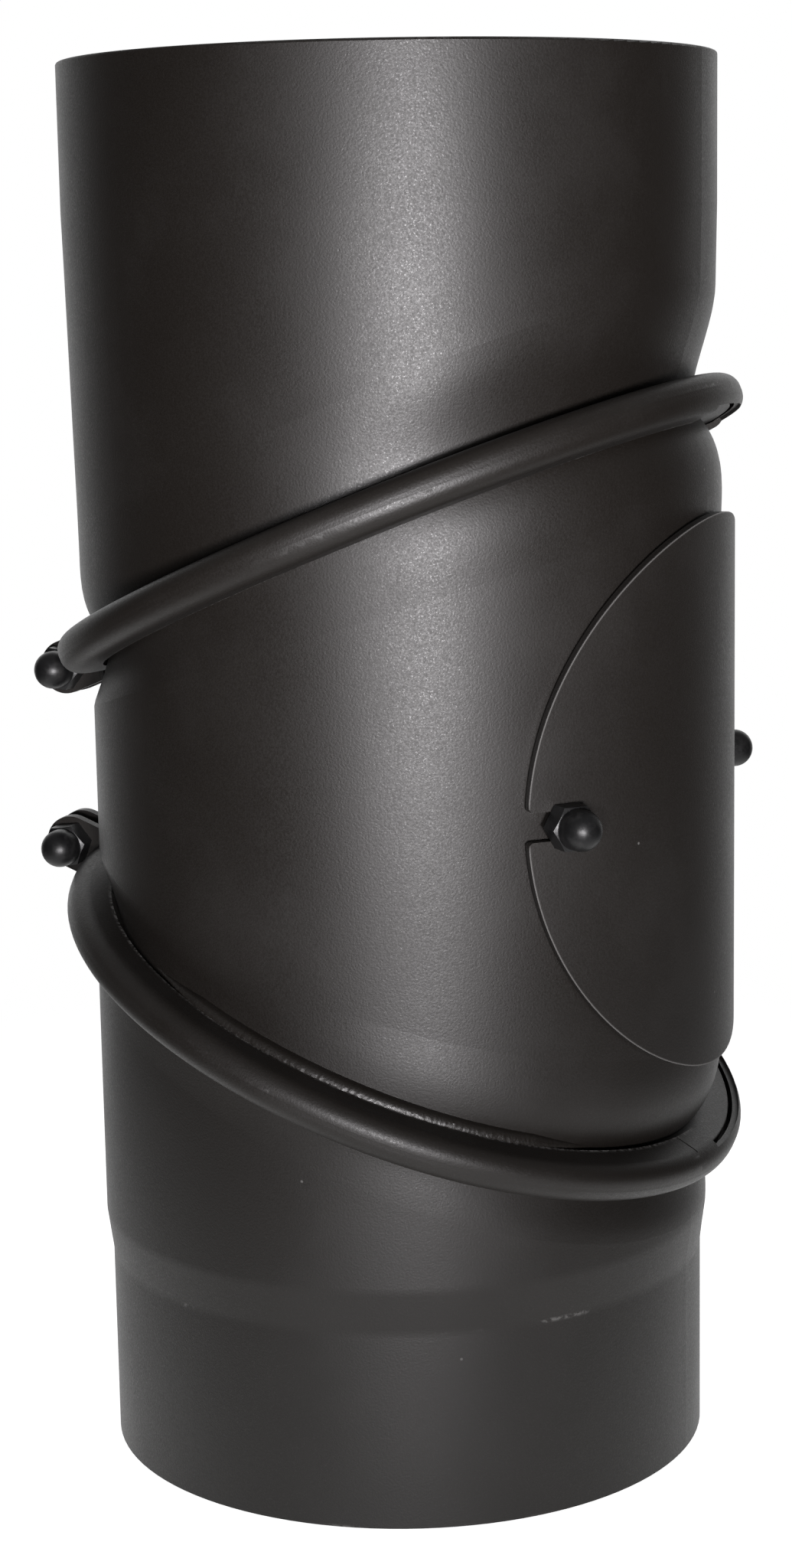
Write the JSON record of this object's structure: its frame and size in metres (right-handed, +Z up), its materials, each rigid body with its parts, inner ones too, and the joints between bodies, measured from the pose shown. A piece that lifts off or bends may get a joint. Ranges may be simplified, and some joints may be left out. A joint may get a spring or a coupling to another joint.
{
  "type": "adjustable stove pipe elbow",
  "caption": "Dark painted steel flue pipe elbow whose pipes turn on slanted clamped swivels, shown straight, with a round bolted cleaning door.",
  "frame": {"origin": "centre of the lower spigot's mouth, at the height of its cut rim, on which the elbow stands", "axes": "+Z up along the lower pipe's axis and out of the upper socket, +X toward the cleaning door, +Y to the door's right-hand stud seen from outside"},
  "size_m": [0.1786, 0.1786, 0.34],
  "materials": {
    "pipe_paint": "matte heat-resistant anthracite paint with a fine metallic grain",
    "band_paint": "matte heat-resistant anthracite paint, thin at the folded edges",
    "door_paint": "matte heat-resistant anthracite paint",
    "fastener_black": "glossy black-finished steel",
    "fibre_seal": "woven grey heat-proof fibre"
  },
  "bodies": {
    "lower": {"lower_segment": "pipe_paint"},
    "middle": {"middle_segment": "pipe_paint", "lower_joint_seal": "fibre_seal", "upper_joint_seal": "fibre_seal", "lower_clamp_band": "band_paint", "upper_clamp_band": "band_paint", "lower_clamp_lug_front": "band_paint", "lower_clamp_lug_rear": "band_paint", "upper_clamp_lug_front": "band_paint", "upper_clamp_lug_rear": "band_paint", "lower_clamp_bolt": "fastener_black", "upper_clamp_bolt": "fastener_black", "lower_clamp_nut": "fastener_black", "upper_clamp_nut": "fastener_black", "door_stud_front": "fastener_black", "door_stud_rear": "fastener_black"},
    "upper": {"upper_segment": "pipe_paint"},
    "door": {"cleaning_door": "door_paint", "door_gasket": "fibre_seal"},
    "front_nut": {"door_nut_front": "fastener_black"},
    "rear_nut": {"door_nut_rear": "fastener_black"}
  },
  "joints": [
    {"name": "lower_swivel", "type": "hinge", "parent": "lower", "child": "middle", "pos_m": [0.0015, 0, 0.10985], "axis": [0.3827, 0, 0.9239], "continuous": true},
    {"name": "upper_swivel", "type": "hinge", "parent": "middle", "child": "upper", "pos_m": [0.0015, 0, 0.2284], "axis": [-0.3827, 0, 0.9239], "continuous": true},
    {"name": "door_lift", "type": "slide", "parent": "middle", "child": "door", "axis": [1, 0, 0], "range_m": [0, 0.06]},
    {"name": "front_nut_unscrew", "type": "slide", "parent": "middle", "child": "front_nut", "axis": [0.7547, -0.6561, 0], "range_m": [0, 0.051]},
    {"name": "rear_nut_unscrew", "type": "slide", "parent": "middle", "child": "rear_nut", "axis": [0.7547, 0.6561, 0], "range_m": [0, 0.051]}
  ],
  "couplings": [
    {"joint": "front_nut_unscrew", "follows": "door_lift", "ratio": 0.85},
    {"joint": "rear_nut_unscrew", "follows": "door_lift", "ratio": 0.85}
  ]
}
